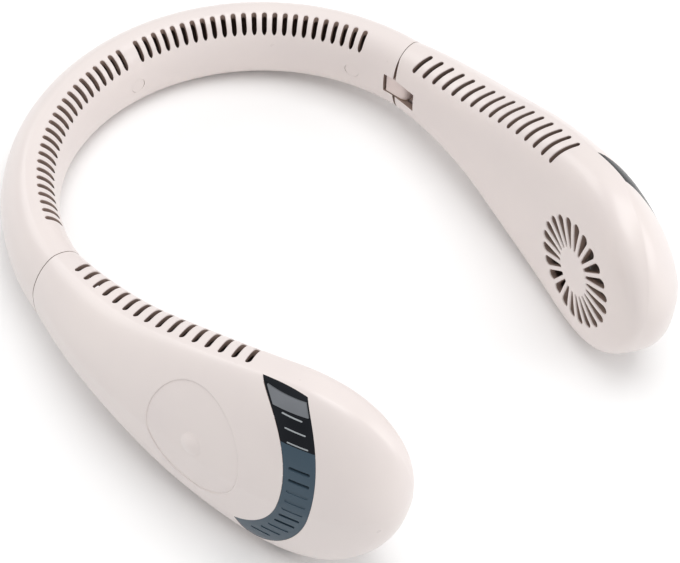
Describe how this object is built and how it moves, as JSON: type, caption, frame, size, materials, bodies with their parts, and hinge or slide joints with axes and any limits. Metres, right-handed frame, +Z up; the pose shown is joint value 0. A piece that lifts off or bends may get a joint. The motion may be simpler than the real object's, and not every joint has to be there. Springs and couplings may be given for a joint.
{
  "type": "electric neck fan",
  "caption": "Hands-free neck fan: a slotted C-shaped neck band with a folding blower arm on each side, radial intake grilles, a vented trim strip and a power key.",
  "frame": {"origin": "on the surface that the fan stands on, under the middle of the neck band", "axes": "+Z up; +Y from the neck band towards the open front between the arms; +X to the side of the arm with the power key"},
  "size_m": [0.1922, 0.2229, 0.0722],
  "materials": {
    "pearl_plastic": "satin moulded, warm pearl white",
    "hinge_plastic": "satin moulded",
    "gloss_black": "gloss",
    "slate_plastic": "satin slate blue",
    "key_grey": "half gloss",
    "light_diffuser": "frosted",
    "dark_plastic": "moulded",
    "steel": "turned",
    "brass": "turned",
    "copper": "wound copper on a laminated core",
    "cell_foil": "foil pouch",
    "board_green": "solder mask",
    "wire_sleeve": "sleeve"
  },
  "bodies": {
    "band": {"band_outer_shell": "pearl_plastic", "band_inner_shell": "pearl_plastic", "band_plugs": "pearl_plastic", "band_screws": "steel", "band_wire_loom": "wire_sleeve", "right_band_hinge": "hinge_plastic", "left_band_hinge": "hinge_plastic", "right_hinge_pin": "steel", "left_hinge_pin": "steel", "hinge_washers": "brass"},
    "right_arm": {"right_inner_shell": "pearl_plastic", "right_outer_cover": "pearl_plastic", "right_dish_cap": "pearl_plastic", "right_display_window": "gloss_black", "right_vented_strip": "slate_plastic", "right_arm_hinge": "hinge_plastic", "right_volute": "dark_plastic", "right_motor_stator": "copper", "right_motor_bearings": "steel", "right_cover_screws": "steel", "right_cell": "cell_foil", "light_bars": "light_diffuser", "key_switch": "dark_plastic", "main_board": "board_green", "charging_socket": "steel"},
    "right_fan": {"right_impeller": "dark_plastic", "right_rotor_ring": "steel", "right_motor_shaft": "steel"},
    "power_key_body": {"power_key": "key_grey"},
    "left_arm": {"left_inner_shell": "pearl_plastic", "left_outer_cover": "pearl_plastic", "left_dish_cap": "pearl_plastic", "left_display_window": "gloss_black", "left_vented_strip": "slate_plastic", "left_arm_hinge": "hinge_plastic", "left_volute": "dark_plastic", "left_motor_stator": "copper", "left_motor_bearings": "steel", "left_cover_screws": "steel", "left_cell": "cell_foil"},
    "left_fan": {"left_impeller": "dark_plastic", "left_rotor_ring": "steel", "left_motor_shaft": "steel"}
  },
  "joints": [
    {"name": "right_fold", "type": "hinge", "parent": "band", "child": "right_arm", "pos_m": [0.07351, 0.07372, 0.02155], "axis": [0, -0.0981, 0.9952], "range_deg": [0, 15]},
    {"name": "left_fold", "type": "hinge", "parent": "band", "child": "left_arm", "pos_m": [-0.07351, 0.07372, 0.02155], "axis": [0, 0.0981, -0.9952], "range_deg": [0, 15]},
    {"name": "right_fan_spin", "type": "hinge", "parent": "right_arm", "child": "right_fan", "pos_m": [0.06524, 0.18302, 0.03634], "axis": [0.9288, 0.3687, 0.0363], "continuous": true},
    {"name": "left_fan_spin", "type": "hinge", "parent": "left_arm", "child": "left_fan", "pos_m": [-0.06524, 0.18302, 0.03634], "axis": [-0.9288, 0.3687, 0.0363], "continuous": true},
    {"name": "key_press", "type": "slide", "parent": "right_arm", "child": "power_key_body", "axis": [-0.9736, -0.2271, -0.0224], "range_m": [0, 0.0006], "stiffness_N_per_m": 500}
  ]
}
